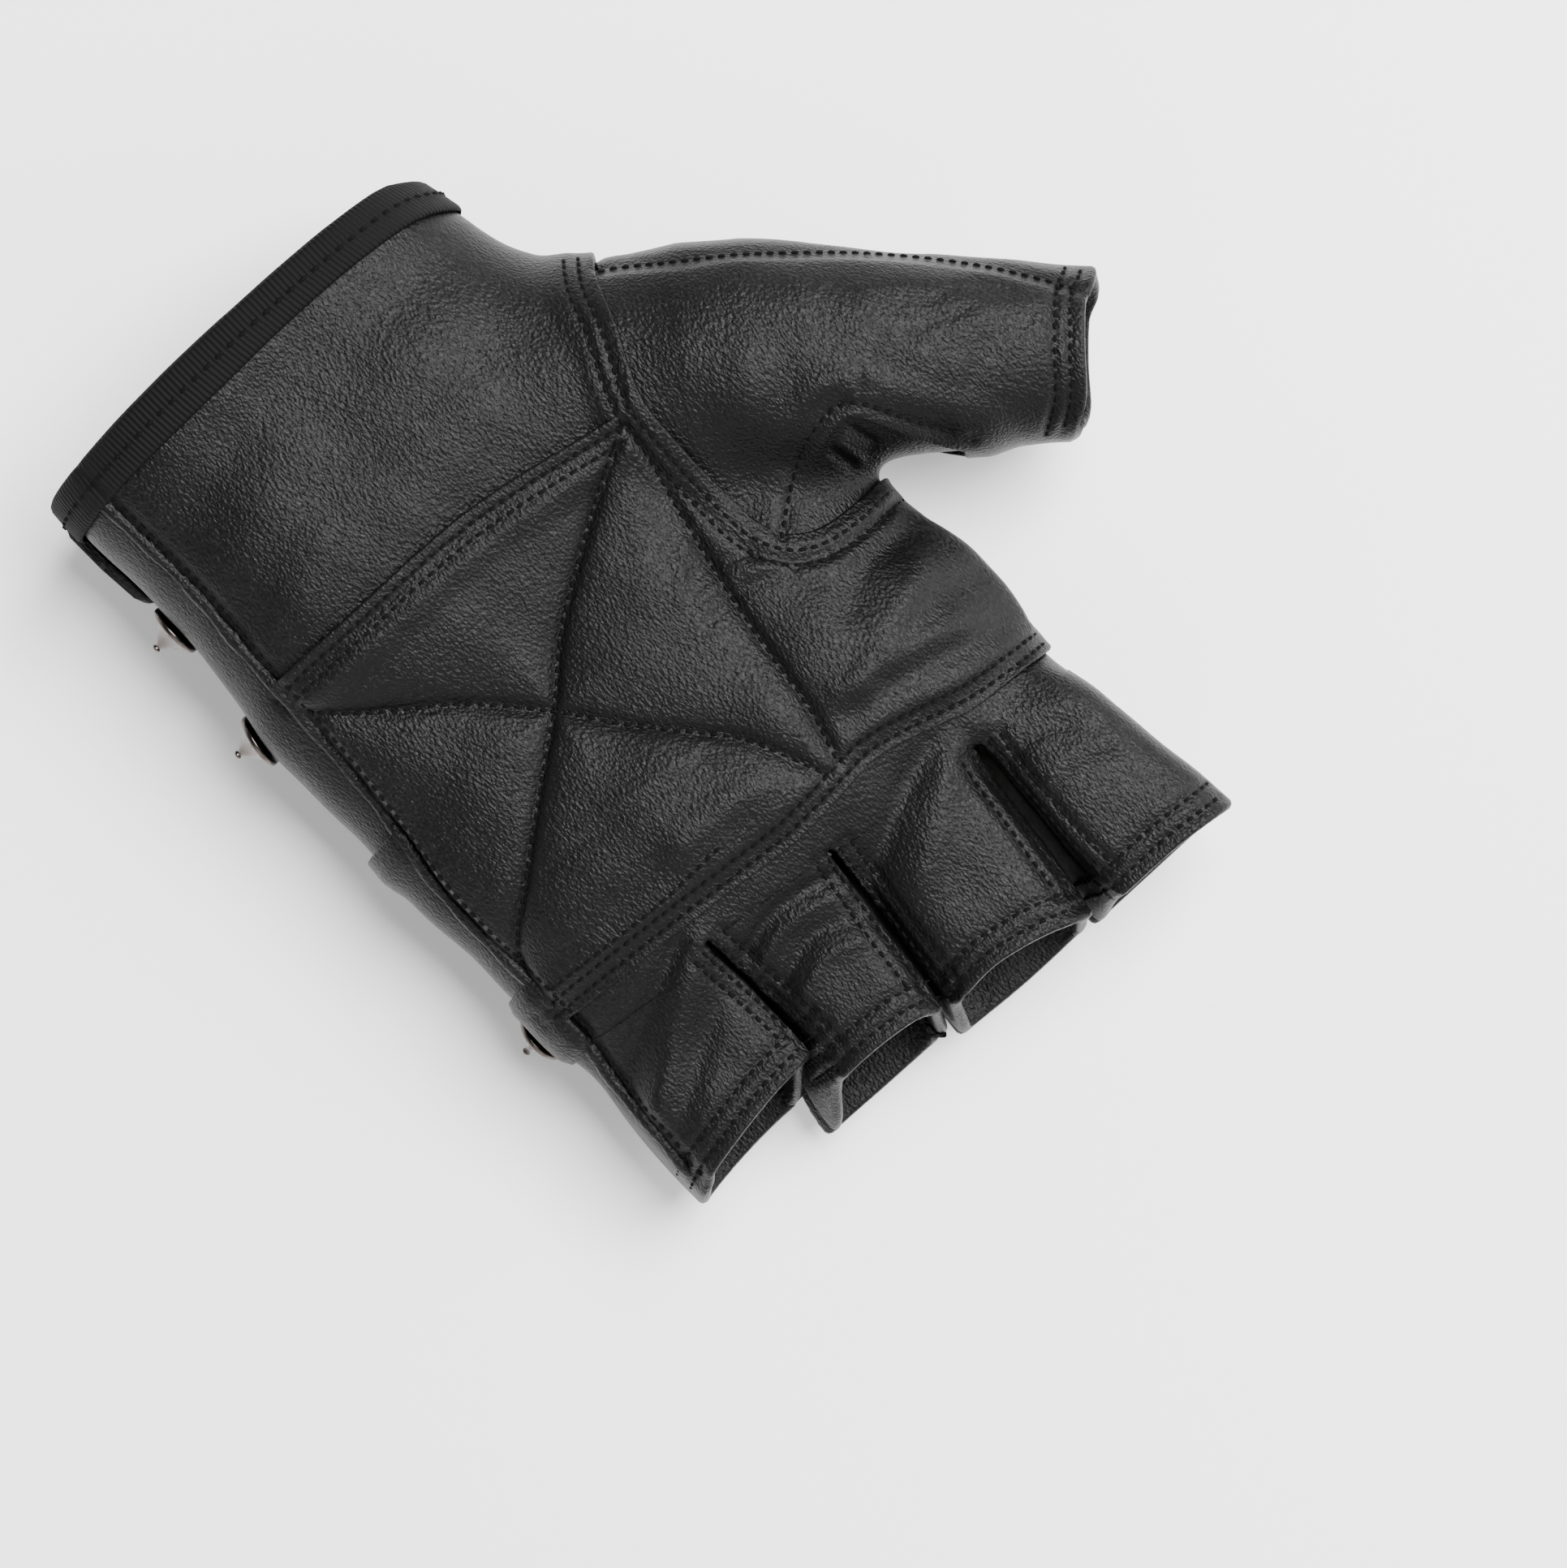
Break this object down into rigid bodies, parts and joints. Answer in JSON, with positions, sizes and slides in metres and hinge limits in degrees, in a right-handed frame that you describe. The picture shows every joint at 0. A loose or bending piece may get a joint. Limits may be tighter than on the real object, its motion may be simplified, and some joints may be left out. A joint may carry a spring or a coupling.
{
  "type": "fingerless glove",
  "caption": "Left-hand fingerless leather glove in its worn shape, with padded palm, bound cuff, strap over a wrist vent and cone studs on the back.",
  "frame": {"origin": "centre of the glove's footprint, on the plane that it lies on with its studded back down", "axes": "+Z out of the palm, +Y from the cuff to the fingers, +X towards the little finger, so the thumb is on the -X side"},
  "size_m": [0.1326, 0.145, 0.0466],
  "materials": {
    "black_leather": "soft black pebbled glove leather, semi-gloss",
    "strap_leather": "firmer black strap leather, semi-gloss",
    "binding_tape": "ribbed black binding tape, matte",
    "lining_cloth": "thin knitted black lining, matte",
    "foam": "soft grey sheet foam",
    "hook_and_loop": "black hook and loop tape",
    "nickel_plate": "polished nickel-plated steel"
  },
  "bodies": {
    "hand": {"heel_panel": "black_leather", "palm_pad_cover": "black_leather", "palm_pad_foam": "foam", "finger_root_panel": "black_leather", "thumb_base_front": "black_leather", "thumb_base_back": "black_leather", "thumb_gusset": "black_leather", "side_piping": "black_leather", "back_panel": "black_leather", "mid_back_panel": "black_leather", "knuckle_band": "black_leather", "upper_back_panel": "black_leather", "palm_lining": "lining_cloth", "back_lining": "lining_cloth", "cuff_binding": "binding_tape", "vent_binding": "binding_tape", "loop_patch": "hook_and_loop", "strap_root": "strap_leather", "back_studs": "nickel_plate", "knuckle_studs": "nickel_plate", "stud_washers": "nickel_plate"},
    "index_stall": {"index_front": "black_leather", "index_back": "black_leather", "index_fourchette": "black_leather"},
    "middle_stall": {"middle_front": "black_leather", "middle_back": "black_leather", "middle_fourchettes": "black_leather"},
    "ring_stall": {"ring_front": "black_leather", "ring_back": "black_leather", "ring_fourchettes": "black_leather"},
    "little_stall": {"little_front": "black_leather", "little_back": "black_leather", "little_fourchette": "black_leather"},
    "thumb_stall": {"thumb_front": "black_leather", "thumb_back": "black_leather"},
    "wrist_strap": {"strap": "strap_leather", "hook_patch": "hook_and_loop"}
  },
  "joints": [
    {"name": "index_bend", "type": "hinge", "parent": "hand", "child": "index_stall", "pos_m": [-0.01712, 0.04317, 0.0323], "axis": [0.9986, -0.0523, 0], "range_deg": [0, 45]},
    {"name": "middle_bend", "type": "hinge", "parent": "hand", "child": "middle_stall", "pos_m": [0.00388, 0.04, 0.0328], "axis": [0.9877, -0.1564, 0], "range_deg": [0, 45]},
    {"name": "ring_bend", "type": "hinge", "parent": "hand", "child": "ring_stall", "pos_m": [0.02668, 0.03575, 0.0325], "axis": [0.9848, -0.1736, 0], "range_deg": [0, 45]},
    {"name": "little_bend", "type": "hinge", "parent": "hand", "child": "little_stall", "pos_m": [0.04988, 0.03353, 0.0318], "axis": [0.9816, -0.1908, 0], "range_deg": [0, 45]},
    {"name": "thumb_bend", "type": "hinge", "parent": "hand", "child": "thumb_stall", "pos_m": [-0.03712, -0.0082, 0.0404], "axis": [0.7427, 0.6697, 0], "range_deg": [0, 40]},
    {"name": "strap_open", "type": "hinge", "parent": "hand", "child": "wrist_strap", "pos_m": [0.006, -0.0635, 0.00567], "axis": [-0.118, 0.9894, -0.0849], "range_deg": [0, 150]}
  ]
}
